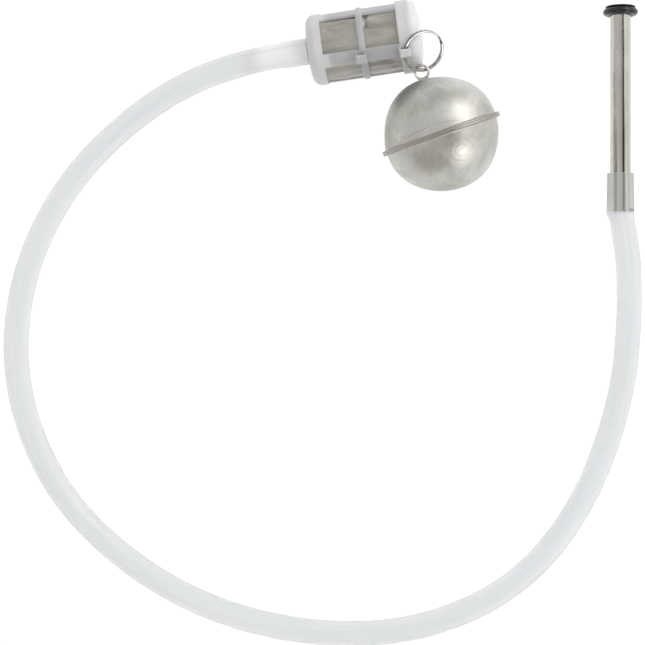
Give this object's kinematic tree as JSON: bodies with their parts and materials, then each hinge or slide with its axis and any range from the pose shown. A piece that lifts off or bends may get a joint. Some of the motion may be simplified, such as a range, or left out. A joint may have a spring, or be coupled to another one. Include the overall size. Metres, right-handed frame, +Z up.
{
  "type": "floating pick-up siphon",
  "caption": "Short flanged outlet tube, soft looping hose, caged screen filter and hollow ball float on a split ring: a siphon that draws from just below the surface.",
  "frame": {"origin": "on the surface the part lies on, under the middle of the tube, filter and float as they lie, hose left out", "axes": "+Y along the dip tube towards its flange; +Z up from the surface; +X from the float towards the dip tube"},
  "size_m": [0.2482, 0.2492, 0.0467],
  "materials": {
    "tube_steel": "drawn stainless tube, satin",
    "seal_rubber": "black moulded rubber, glossy",
    "silicone": "translucent extruded silicone, soft sheen",
    "cage_plastic": "translucent moulded polypropylene",
    "cap_plastic": "milky moulded polypropylene",
    "screen_steel": "woven stainless wire cloth",
    "ring_steel": "bright spring wire",
    "float_steel": "pressed stainless, dull with stains"
  },
  "bodies": {
    "line": {"hose": "silicone", "dip_tube": "tube_steel", "dip_tube_o_ring": "seal_rubber", "filter_cage": "cage_plastic", "filter_screen": "screen_steel", "filter_end_cap": "cap_plastic"},
    "split_ring": {"split_ring": "ring_steel"},
    "float": {"float_eye": "ring_steel", "float_upper_shell": "float_steel", "float_lower_shell": "float_steel"}
  },
  "joints": [
    {"name": "ring_swing", "type": "hinge", "parent": "line", "child": "split_ring", "pos_m": [-0.02274, 0.0184, 0.02952], "axis": [0.1595, -0.8566, -0.4906], "range_deg": [0, 70]},
    {"name": "float_lift", "type": "hinge", "parent": "split_ring", "child": "float", "pos_m": [-0.01624, 0.01238, 0.02331], "axis": [-0.9337, -0.1143, 0.3393], "range_deg": [-25, 60]}
  ]
}
